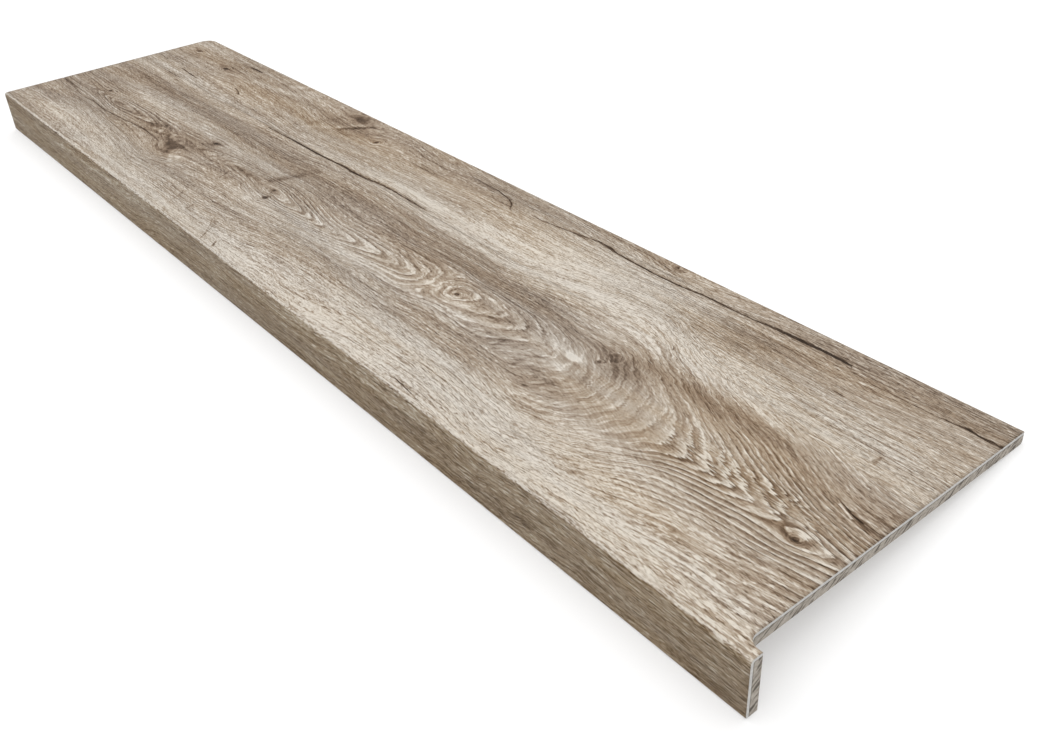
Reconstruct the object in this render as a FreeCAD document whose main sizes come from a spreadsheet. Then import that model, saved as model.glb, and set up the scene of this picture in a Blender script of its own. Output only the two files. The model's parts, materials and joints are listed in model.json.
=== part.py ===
"""Nosed stair tread with a wood-look wear sheet, as a parametric model in millimetres.

The tread is a board with a lip along its front edge. One wear sheet covers the board and
wraps round the front edge and down the lip, so the core is two pieces: the tread board,
and the nose strip that stands in front of it. The right end is cut back behind the lip.

Each piece is drawn level, x along the tread from its left end, y from the face of the lip
to the back, z up from the lip's lower edge. The finished pieces are then tilted together,
because a loose tread rests on its lip and on its lower back edge.
"""
import FreeCAD, Part
import os
import Sketcher

SIZES = {
    "tread_length": 1300.0,
    "tread_depth": 300.0,
    "lip_height": 50.0,
    "core_thickness": 8.0,
    "sheet_thickness": 2.5,
    "bend_radius": 3.5,
    "sheet_edge_radius": 0.8,
    "back_edge_radius": 3.0,
    "end_setback": 12.0,
    "setback_radius": 8.0,
    "cutter_bite": 0.3,
    "plan_corner_radius": 16.0,
    "cutter_overlap": 5.0,
}

doc = FreeCAD.newDocument("stair_tread")
sheet = doc.addObject("Spreadsheet::Sheet", "Sizes")
for row, (alias, value) in enumerate(SIZES.items(), start=1):
    sheet.set(f"A{row}", alias)
    sheet.set(f"B{row}", str(value))
    sheet.setAlias(f"B{row}", alias)
doc.recompute()

# Levels and distances that the pieces share, each worked out from the sizes
LENGTH = "Sizes.tread_length"
DEPTH = "Sizes.tread_depth"
TOP = "Sizes.lip_height"
SHEET = "Sizes.sheet_thickness"
BEND = "Sizes.bend_radius"
INNER_BEND = f"({BEND} - {SHEET})"
SHEET_UNDERSIDE = f"({TOP} - {SHEET})"
BOARD_UNDERSIDE = f"({SHEET_UNDERSIDE} - Sizes.core_thickness)"
LIP_THICKNESS = f"({SHEET} + Sizes.core_thickness)"
BACK_RADIUS = "Sizes.back_edge_radius"
CORNER_RADIUS = "Sizes.plan_corner_radius"
SETBACK_END = f"({LENGTH} - Sizes.end_setback)"
SETBACK_FACE = f"({LIP_THICKNESS} - Sizes.cutter_bite)"
OVERLAP = "Sizes.cutter_overlap"

# Resting tilt: the line through the lip's lower inner edge touches the round back edge
REACH = f"({DEPTH} - {BACK_RADIUS} - {LIP_THICKNESS})"
RISE = f"({BOARD_UNDERSIDE} + {BACK_RADIUS})"
TILT = f"(atan2({RISE}; {REACH}) - asin({BACK_RADIUS} / sqrt({REACH}^2 + {RISE}^2)))"
EDGE_INSET = f"Sizes.sheet_edge_radius * (cos({TILT}) + sin({TILT}) - 1)"
TILTED_BACK = f"({DEPTH} * cos({TILT}) + {TOP} * sin({TILT}))"


def value_of(expression):
    """The number that an expression of the sizes gives now."""
    return float(sheet.evalExpression(expression))


def corner_of(line, following):
    """Where a level line and an upright line meet, whichever comes first."""
    level, upright = (line, following) if line[0] == "level" else (following, line)
    return FreeCAD.Vector(value_of(upright[1]), value_of(level[1]), 0)


def draw_outline(body, name, plane_role, lines):
    """Draw a closed outline of level and upright lines on one of the body's own planes.

    Each line is (direction, position, radius): its height or its distance as an expression,
    and the radius that rounds the corner at its end, or None for a sharp corner.
    """
    sketch = body.newObject("Sketcher::SketchObject", name)
    plane = next(item for item in body.Origin.OriginFeatures if item.Role == plane_role)
    sketch.AttachmentSupport = [(plane, "")]
    sketch.MapMode = "FlatFace"

    count = len(lines)
    corners = [corner_of(line, lines[(i + 1) % count]) for i, line in enumerate(lines)]
    radii = [value_of(line[2]) if line[2] else 0.0 for line in lines]
    arcs = []
    for i in range(count):
        start = corners[i - 1]
        end = corners[i]
        along = (end - start).normalize()
        segment = Part.LineSegment(start + along * radii[i - 1], end - along * radii[i])
        sketch.addGeometry(segment, False)
    for i in range(count):
        if lines[i][2]:
            before = (corners[i] - corners[i - 1]).normalize()
            after = (corners[(i + 1) % count] - corners[i]).normalize()
            centre = corners[i] + (after - before) * radii[i]
            middle = centre + (before - after).normalize() * radii[i]
            arc = Part.Arc(corners[i] - before * radii[i], middle, corners[i] + after * radii[i])
            turns_left = before.cross(after).z > 0
            arcs.append((i, sketch.addGeometry(arc, False), turns_left))

    for i, (direction, position, radius) in enumerate(lines):
        axis = "Y" if direction == "level" else "X"
        sketch.addConstraint(Sketcher.Constraint("Horizontal" if axis == "Y" else "Vertical", i))
        if position == "0":
            sketch.addConstraint(Sketcher.Constraint("PointOnObject", i, 1, -1 if axis == "Y" else -2))
        else:
            distance = Sketcher.Constraint("Distance" + axis, -1, 1, i, 1, value_of(position))
            index = sketch.addConstraint(distance)
            sketch.setExpression(f"Constraints[{index}]", position)
        if not radius:
            sketch.addConstraint(Sketcher.Constraint("Coincident", i, 2, (i + 1) % count, 1))
    for i, arc, turns_left in arcs:
        first, last = (1, 2) if turns_left else (2, 1)
        sketch.addConstraint(Sketcher.Constraint("Tangent", i, 2, arc, first))
        sketch.addConstraint(Sketcher.Constraint("Tangent", (i + 1) % count, 1, arc, last))
        index = sketch.addConstraint(Sketcher.Constraint("Radius", arc, radii[i]))
        sketch.setExpression(f"Constraints[{index}]", lines[i][2])
    return sketch


def pad_along_tread(body, section):
    """Run a cross section along the whole length of the tread."""
    pad = body.newObject("PartDesign::Pad", "full_length")
    pad.Profile = section
    pad.setExpression("Length", LENGTH)
    doc.recompute()
    return pad


def cut_upwards(body, name, outline):
    """Cut an outline of the plan through the whole height, and test that it removes material."""
    volume_before = body.Shape.Volume
    pocket = body.newObject("PartDesign::Pocket", name)
    pocket.Profile = outline
    pocket.Type = "ThroughAll"
    pocket.Reversed = True
    doc.recompute()
    if not body.Shape.Volume < volume_before:
        raise RuntimeError(f"{body.Label}: {name} cuts nothing")


def cut_end_setback(body):
    """Cut the right end back behind the lip, with a round inner corner."""
    outline = draw_outline(body, "end_setback_outline", "XY_Plane", [
        ("level", SETBACK_FACE, None),
        ("upright", f"{LENGTH} + {OVERLAP}", None),
        ("level", f"{DEPTH} + {OVERLAP}", None),
        ("upright", SETBACK_END, "Sizes.setback_radius"),
    ])
    cut_upwards(body, "end_setback", outline)


def round_plan_corner(body):
    """Round the back left corner, as a cutter does that runs round the outside of it."""
    outline = draw_outline(body, "plan_corner_outline", "XY_Plane", [
        ("level", f"{DEPTH} - {CORNER_RADIUS} - {OVERLAP}", None),
        ("upright", "0", CORNER_RADIUS),
        ("level", DEPTH, None),
        ("upright", f"{CORNER_RADIUS} + {OVERLAP}", None),
        ("level", f"{DEPTH} + {OVERLAP}", None),
        ("upright", f"-{OVERLAP}", None),
    ])
    cut_upwards(body, "plan_corner", outline)


def lay_to_rest(body):
    """Tilt a piece with the whole tread, centre it, and set the tread's lowest line on z = 0."""
    body.Placement = FreeCAD.Placement(FreeCAD.Vector(), FreeCAD.Rotation(FreeCAD.Vector(1, 0, 0), -1))
    body.setExpression("Placement.Rotation.Angle", f"-{TILT}")
    body.setExpression("Placement.Base.x", f"-{LENGTH} / 2")
    body.setExpression("Placement.Base.y", f"-({EDGE_INSET} + {TILTED_BACK}) / 2")
    body.setExpression("Placement.Base.z", f"{LIP_THICKNESS} * sin({TILT})")


def make_tread_board():
    """Core board of the step, butted against the back of the nose strip."""
    body = doc.addObject("PartDesign::Body", "tread_board")
    section = draw_outline(body, "board_section", "YZ_Plane", [
        ("level", BOARD_UNDERSIDE, BACK_RADIUS),
        ("upright", DEPTH, None),
        ("level", SHEET_UNDERSIDE, None),
        ("upright", LIP_THICKNESS, None),
    ])
    pad_along_tread(body, section)
    cut_end_setback(body)
    round_plan_corner(body)
    return body


def make_nose_strip():
    """Core strip of the lip, which stands from the lip's lower edge up to the wear sheet."""
    body = doc.addObject("PartDesign::Body", "nose_strip")
    section = draw_outline(body, "strip_section", "YZ_Plane", [
        ("level", "0", None),
        ("upright", LIP_THICKNESS, None),
        ("level", SHEET_UNDERSIDE, INNER_BEND),
        ("upright", SHEET, None),
    ])
    pad_along_tread(body, section)
    cut_end_setback(body)
    return body


def make_wear_sheet():
    """Wood-look sheet over the board, bent round the front edge and down the lip."""
    body = doc.addObject("PartDesign::Body", "wear_sheet")
    section = draw_outline(body, "sheet_section", "YZ_Plane", [
        ("level", "0", None),
        ("upright", SHEET, INNER_BEND),
        ("level", SHEET_UNDERSIDE, None),
        ("upright", DEPTH, None),
        ("level", TOP, BEND),
        ("upright", "0", "Sizes.sheet_edge_radius"),
    ])
    pad_along_tread(body, section)
    cut_end_setback(body)
    round_plan_corner(body)
    return body


pieces = [make_tread_board(), make_nose_strip(), make_wear_sheet()]
for piece in pieces:
    lay_to_rest(piece)
doc.recompute()

for item in doc.Objects:
    if "Invalid" in item.State or "Error" in item.State:
        raise RuntimeError(f"{item.Label} failed: {item.State}")
for piece in pieces:
    if piece.Shape.isNull() or not piece.Shape.isValid() or len(piece.Shape.Solids) != 1:
        raise RuntimeError(f"{piece.Label} isn't one valid solid")

os.makedirs("parts", exist_ok=True)
for piece in pieces:
    piece.Shape.exportStep(f"parts/{piece.Label}.step")
    box = piece.Shape.BoundBox
    print(f"{piece.Label}: {piece.Shape.Volume:.0f} mm3, z {box.ZMin:.3f} to {box.ZMax:.3f}")
print(f"resting tilt: {value_of(TILT):.3f} degrees")
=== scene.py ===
"""Dress a nosed stair tread: an embossed wood-look wear sheet over a fibre core.

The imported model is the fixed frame. The wear sheet is worked out again as one fine surface that
carries the grain, the cracks and the knots as real relief; the core board and the nose strip keep
their solids and get the material of a sawn fibre core.

All figure sizes are in millimetres on the unrolled face of the sheet: x runs along the tread from
its left end, y from the nose to the back, and goes on below zero down the lip.
"""
import functools
import json
import math

import bpy
import numpy as np
from bpy.props import FloatProperty, FloatVectorProperty, PointerProperty
from mathutils import Matrix, Vector


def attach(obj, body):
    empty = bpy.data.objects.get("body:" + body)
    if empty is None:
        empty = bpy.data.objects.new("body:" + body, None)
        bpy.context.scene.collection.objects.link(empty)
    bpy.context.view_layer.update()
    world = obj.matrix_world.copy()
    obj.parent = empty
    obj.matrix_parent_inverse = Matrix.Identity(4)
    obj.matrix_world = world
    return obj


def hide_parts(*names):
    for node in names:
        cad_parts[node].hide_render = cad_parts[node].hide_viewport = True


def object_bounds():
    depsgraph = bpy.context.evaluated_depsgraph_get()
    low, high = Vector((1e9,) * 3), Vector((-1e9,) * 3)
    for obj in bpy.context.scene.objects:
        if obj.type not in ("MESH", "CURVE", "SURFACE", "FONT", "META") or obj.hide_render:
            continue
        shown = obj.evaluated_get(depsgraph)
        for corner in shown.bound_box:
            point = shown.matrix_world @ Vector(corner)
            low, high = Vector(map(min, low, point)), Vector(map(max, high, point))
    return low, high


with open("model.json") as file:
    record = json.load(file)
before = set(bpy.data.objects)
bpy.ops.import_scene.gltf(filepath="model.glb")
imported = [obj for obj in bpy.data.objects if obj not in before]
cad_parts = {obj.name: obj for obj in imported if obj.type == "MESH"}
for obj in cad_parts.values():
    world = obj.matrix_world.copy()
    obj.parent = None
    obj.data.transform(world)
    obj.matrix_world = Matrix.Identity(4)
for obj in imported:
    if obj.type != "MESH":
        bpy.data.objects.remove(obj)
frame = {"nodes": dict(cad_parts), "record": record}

bl_info = {
    "name": "Stair Tread Finish",
    "version": (1, 0, 0),
    "blender": (4, 5, 0),
    "location": "View3D > Sidebar > Stair Tread",
    "description": "Wood-look wear sheet, fibre core and photo studio for a nosed stair tread",
    "category": "Object",
}

MM = 0.001
CAD_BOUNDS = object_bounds()

# Rows of the sheet's surface round the plan corner, round the end cut, round the bend and at the lip's foot
CORNER_ROWS = 16
FILLET_ROWS = 10
BEND_ROWS = 7
FOOT_ROWS = 4
# Columns beyond the board's right end, on the lip alone
TAIL_COLUMNS = 2
# How far from a round corner or cut the columns are drawn in, in radii of the plan corner
DRAWN_CORNERS = 3
# Distance in metres within which two lines of the section count as one
CLOSE = 1e-9
# The places over which a line or a ring is evened out, as shares of the reach
FIVE_PLACES = (-1.0, -0.5, 0.0, 0.5, 1.0)

# Long soft ridges of the pressed grain: width, length of their sway, share of the depth, start
RIDGES = ((2.9, 90.0, 0.45, 0.0), (4.7, 140.0, 0.35, 1.7), (7.9, 230.0, 0.20, 4.1))
# Slow waves of the grain lines: wave length along the tread, lean with y, height and start
GRAIN_WAVES = (
    (610, 0.9, 3.2, 0.10), (283, -0.6, 1.5, 0.62), (131, 0.8, 0.55, 0.31), (57, -1.7, 0.22, 0.83),
)

# Knots: place, radius of the dark core, reach of the bent grain, how much longer than wide the bend is,
# how dark the core is, and the lowest y that it bends
KNOTS = (
    (1022.5, 155.0, 5.0, 9.0, 1.2, 0.62, -99.0),
    (1017.0, 142.0, 2.2, 3.0, 1.2, 1.00, -99.0),
    (346.0, 82.0, 8.0, 26.0, 1.2, 0.06, -99.0),
    (373.5, 125.0, 3.4, 8.0, 1.3, 0.80, -99.0),
    (438.0, 288.0, 14.0, 58.0, 1.4, 0.18, 197.0),
    (956.0, 297.0, 5.5, 14.0, 1.8, 0.90, 281.0),
    (852.0, 122.8, 2.8, 5.0, 1.5, 1.60, -99.0),
    (1252.0, 96.6, 2.9, 10.0, 1.5, 0.95, -99.0),
    (548.0, 96.0, 4.8, 6.0, 0.7, 0.95, -99.0),
    (539.0, 111.5, 2.8, 4.0, 1.4, 0.65, -99.0),
    (508.5, 261.0, 4.0, 6.0, 0.8, 1.05, -99.0),
    (138.0, 255.5, 4.6, 8.0, 2.0, 1.10, -99.0),
    (37.5, 263.5, 3.2, 5.0, 2.0, 0.85, -99.0),
    (101.0, 107.0, 3.0, 5.0, 2.2, 1.30, -99.0),
)
# Share of the crack depth that the heart of a knot of full darkness is pressed in
KNOT_DEPTH = 0.6
# Knots whose rim is darker than their middle: x, y, half length, half width, share
RIMMED_KNOTS = ((1022.5, 155.0, 16, 14, 0.85), (956.0, 297.0, 22, 14, 0.45))

# How far along the tread the corners of the heart line, of the other lines and of the ring
# numbers on the heart line are rounded, in millimetres
HEART_ROUNDING = 20.0
LINE_ROUNDING = 15.0
NUMBER_ROUNDING = 7.0
# Heart line of the flame figure, as points of x and y
HEART_LINE = (
    (0, 100), (212, 100), (261, 101), (300, 98), (346, 92), (400, 103), (480, 110), (540, 108),
    (628, 108), (672, 111), (703, 115), (745, 117), (797, 115), (851, 123), (872, 128), (936, 129),
    (980, 124), (1005, 116), (1031, 107), (1083, 105), (1153, 104), (1172, 107), (1208, 107),
    (1233, 102), (1252, 99), (1280, 100), (1310, 101),
)
# Ring numbers along the heart line, as points of x and number
HEART_RINGS = (
    (0, 4), (90, 5), (150, 2), (212, 3), (261, 4), (300, 5), (380, 4), (430, 3), (540, 0), (583, 1),
    (606, 2), (628, 3), (647, 4), (672, 5), (703, 6), (743, 7), (770, 8), (797, 9), (807, 10),
    (817, 11), (822, 11.4), (828, 11), (835, 10.1), (842, 9.4), (851, 8.7), (861, 9.3), (873, 10),
    (915, 11), (937, 12), (965, 13), (992, 14), (1012, 15), (1031, 16), (1039, 17), (1048, 18),
    (1059, 19), (1073, 20), (1086, 21), (1106, 22), (1129, 23), (1151, 24), (1172, 25), (1189, 26),
    (1208, 27), (1233, 28), (1240, 28.3), (1251, 27.4), (1264, 28.3), (1280, 29), (1310, 30),
)
# Lines that shape the growth rings, from the nose to the back edge: points of x, y and ring number
NOSE_LINE = ((0, 0, 36), (500, 0, 40), (1310, 0, 46))
OUTER_FRONT = (
    (0, 45, 22), (300, 42, 21), (540, 58, 18), (700, 62, 22), (850, 58, 25.5), (937, 50, 27),
    (1005, 46, 27), (1061, 53, 27.5), (1100, 64, 28), (1144, 81, 28.1), (1200, 92, 28.3),
    (1250, 89, 29.8), (1310, 91, 31),
)
INNER_FRONT = (
    (0, 76, 10), (300, 72, 9), (400, 80, 7.5), (540, 84, 6.8), (650, 86, 10.4), (742, 90, 12),
    (815, 98, 12), (838, 104, 12), (866, 106, 12), (885, 103, 12), (905, 102, 12.6), (937, 98, 13.6),
    (975, 86, 15.5), (1005, 74, 17.6), (1031, 67, 19.6), (1061, 72, 21.2), (1084, 77, 22.2),
    (1106, 83, 23.3), (1144, 97, 24.9), (1200, 98, 27.6), (1250, 91.5, 29.4), (1310, 94, 30.6),
)
INNER_BACK = (
    (0, 124, 10), (261, 122, 10), (346, 128, 10), (430, 128, 7.5), (540, 132, 6.8), (650, 139, 11.0),
    (742, 142, 12), (815, 141, 12), (838, 139, 12), (866, 139, 12), (907, 141, 12.2), (937, 146, 13.6),
    (980, 150, 15.5), (1005, 158, 17), (1022, 160, 18.2), (1040, 157, 19.2), (1061, 150, 20.4),
    (1084, 143, 21.6), (1103, 138, 22.8), (1125, 134, 23.9), (1153, 128, 25.4), (1180, 123, 26.8),
    (1208, 117, 27.9), (1250, 106.5, 29.5), (1310, 107, 30.8),
)
OUTER_BACK = (
    (0, 155, 22), (300, 160, 21), (540, 165, 18.5), (700, 172, 22.5), (851, 178, 25), (900, 188, 26),
    (950, 200, 27), (1005, 203, 27), (1061, 182, 27.4), (1117, 160, 27.9), (1172, 141, 28.6),
    (1215, 126, 29.2), (1250, 116, 30.4), (1310, 115, 32),
)
BACK_LINE = ((0, 300, 58), (600, 300, 66), (1000, 300, 71), (1310, 300, 77))
# Width of one ring down the lip
LIP_RING_WIDTH = 3.0
# How far from the heart line the rings still turn, as points of x and distance
TIP_ROUND = (
    (0, 10), (500, 10), (560, 13), (780, 14), (830, 16), (851, 9), (880, 14), (937, 12), (1000, 12),
    (1035, 24), (1095, 20), (1140, 8), (1300, 7),
)
# How far the rings' corners are evened out, as points of x and distance
RING_SOFTNESS = ((0, 4), (560, 1.5), (930, 1.5), (985, 6), (1030, 13), (1095, 11), (1140, 2), (1310, 1.5))
# How strong the rings are near the heart line, as points of x and share
FIGURE_STRENGTH = (
    (0, 0.3), (150, 0.6), (260, 0.6), (300, 0.3), (500, 0.2), (570, 0.9), (780, 0.9), (850, 0.78),
    (937, 0.68), (1000, 0.0), (1070, 0.15), (1110, 0.4), (1150, 1.5), (1300, 1.7),
)
# How far from the heart line that strength reaches, as points of x and distance
FIGURE_REACH = ((0, 22), (540, 22), (800, 24), (900, 26), (1000, 40), (1140, 42), (1310, 42))
# How far fibres pull the rings' tips into jags, as points of x and share
TIP_JAG = (
    (0, 0.4), (500, 0.3), (560, 0.08), (780, 0.10), (860, 0.2), (960, 0.4), (1000, 0.1), (1095, 0.15),
    (1145, 0.6), (1300, 0.55),
)
# How strong the rings are away from the heart line, and down the lip
PLAIN_RINGS = 0.45
LIP_RINGS = 0.20
# Most that the rings' steepness counts; it is one where they stand at their usual spacing
STEEPEST = 1.2
# Middle and reach along the tread of the swirl beside the main knot
SWIRL_MIDDLE = 1062.0
SWIRL_REACH = 60.0
# Above this line the grain runs level again, away from the figure: points of x and y
LEVEL_LINE = ((0, 420), (820, 420), (1000, 243), (1061, 216), (1117, 203), (1172, 193), (1310, 178))
# How far the grain takes to run level past that line, in millimetres
LEVEL_EDGE = 10.0
# Fine rings between the rings: x, y, half length, half width, strength
FINE_RINGS = ((1045, 120, 80, 58, 1.0), (860, 148, 110, 12, 0.5), (1010, 190, 60, 26, 0.5))
# Places where the rings themselves are faint: x, y, half length, half width, share taken off
FAINT_RINGS = (
    (985, 170, 55, 22, 0.65), (1010, 66, 90, 26, 0.50), (1200, 168, 110, 24, 0.45),
    (1060, 110, 55, 60, 0.48), (356, 68, 60, 14, 0.60), (851, 123, 42, 22, 0.30),
)
# Calmer places, where the loose grain gives way to the figure, in the same order
CALM_PATCHES = (
    (1200, 98, 120, 34, 0.42), (1010, 135, 70, 45, 0.35), (700, 110, 190, 18, 0.15),
    (346, 84, 26, 24, 0.55), (438, 286, 36, 16, 0.50), (560, 240, 200, 30, 0.18),
    (1170, 165, 110, 24, 0.22), (1180, 252, 120, 22, 0.25), (1190, 32, 110, 30, 0.12),
    (970, 30, 90, 26, -0.20), (999, 131, 9, 5, 0.45), (1070, 115, 50, 50, 0.28),
)

# Cracks by lane, as points of x, y, width; a width of nothing starts and ends one
CRACKS = (
    ((170, 258, 0), (190, 258, 0.4), (222, 256, 0), (578, 255, 0), (600, 256.3, 0.45),
     (630, 256.5, 0.45), (643, 256, 0), (643, 283.5, 0), (670, 282, 0.5), (711, 280.5, 0.8),
     (733, 276.5, 1.0), (746, 270.5, 1.6), (752, 262.0, 0.6), (764, 260.5, 0), (765, 269.5, 0),
     (795, 269.0, 0.6), (822, 272.0, 0.6), (867, 279.2, 1.4), (884, 277.8, 3.4), (894, 275.6, 1.4),
     (950, 273.0, 1.1), (978, 273.7, 0.8), (1004, 277.2, 1.2), (1035, 276.8, 1.3), (1058, 277.6, 0.7),
     (1075, 279.5, 1.7), (1095, 280.4, 3.0), (1118, 280.9, 3.2), (1132, 281.3, 2.6), (1146, 280.8, 2.2),
     (1158, 280.2, 0), (1160, 270.6, 0), (1180, 270.8, 0.45), (1236, 271.2, 0.45), (1252, 273.0, 0.8),
     (1260, 274.2, 1.9), (1275, 272.2, 1.7), (1300, 273.0, 1.4)),
    ((6, 219.0, 0.5), (34, 217.0, 0.7), (42, 216.6, 0), (84, 214.6, 0), (92, 213.9, 0.7),
     (127, 211.1, 1.4), (152, 209.7, 0), (214, 229.5, 0), (222, 228.6, 0.6), (234, 225.4, 1.1),
     (240, 222.2, 1.0), (247, 218, 0), (367, 193.5, 0), (380, 194.0, 1.0), (434, 195.3, 1.5),
     (489, 195.2, 1.6), (517, 196.8, 1.6), (545, 198.4, 2.0), (559, 196.8, 2.4), (586, 198.6, 1.9),
     (600, 200.9, 1.5), (628, 202.3, 1.5), (670, 200.9, 1.7), (700, 200.2, 0), (1234, 151, 0),
     (1250, 146.0, 0.6), (1264, 140.5, 0.9), (1285, 137.0, 0.4), (1300, 137, 0)),
    ((30, 196.0, 0), (60, 195.5, 0.3), (95, 194.9, 0.6), (120, 194.6, 0.5), (148, 193.0, 0),
     (156, 282, 0), (172, 283.4, 1.9), (186, 283.4, 1.6), (194, 283.0, 0), (700, 272, 0),
     (833, 272.5, 0), (845, 274.0, 0.7), (867, 272.2, 0), (1160, 243.2, 0), (1172, 243.6, 0.7),
     (1182, 243.4, 0), (1220, 40.2, 0), (1240, 40.8, 0.3), (1266, 41.4, 0)),
    ((0, 81.0, 0.8), (42, 78.0, 0.7), (70, 75.0, 0.4), (96, 72.0, 0.35), (119, 75.2, 0.6),
     (167, 73.4, 0.65), (211, 77.6, 0.6), (264, 83.2, 0.75), (306, 80.6, 0.5), (325, 79, 0),
     (553, 33.0, 0), (566, 30.0, 0.35), (587, 3.0, 0.45), (588, 2.0, 0), (602, 12.0, 0),
     (607, 8.0, 0.9), (613, 4.0, 0), (897, 10.6, 0), (928, 9.2, 0.6), (950, 7.0, 0.7), (974, 3.8, 0)),
)
# How dark each lane's cracks are, as points of x and share of the full darkness
CRACK_SHADES = (
    ((0, 0.7), (640, 0.6), (860, 0.75), (900, 1.0), (1160, 1.0), (1170, 0.6), (1250, 0.7), (1262, 1.0)),
    ((0, 0.75), (367, 0.8), (450, 1.0), (700, 1.0), (1230, 0.7)),
    ((0, 0.8), (150, 0.9), (1200, 0.8)),
    ((0, 0.7), (550, 0.6), (890, 0.8)),
)

# Tone of the plain face, between the crack's dark and the limed white
BASE_TONE = 0.694
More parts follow.
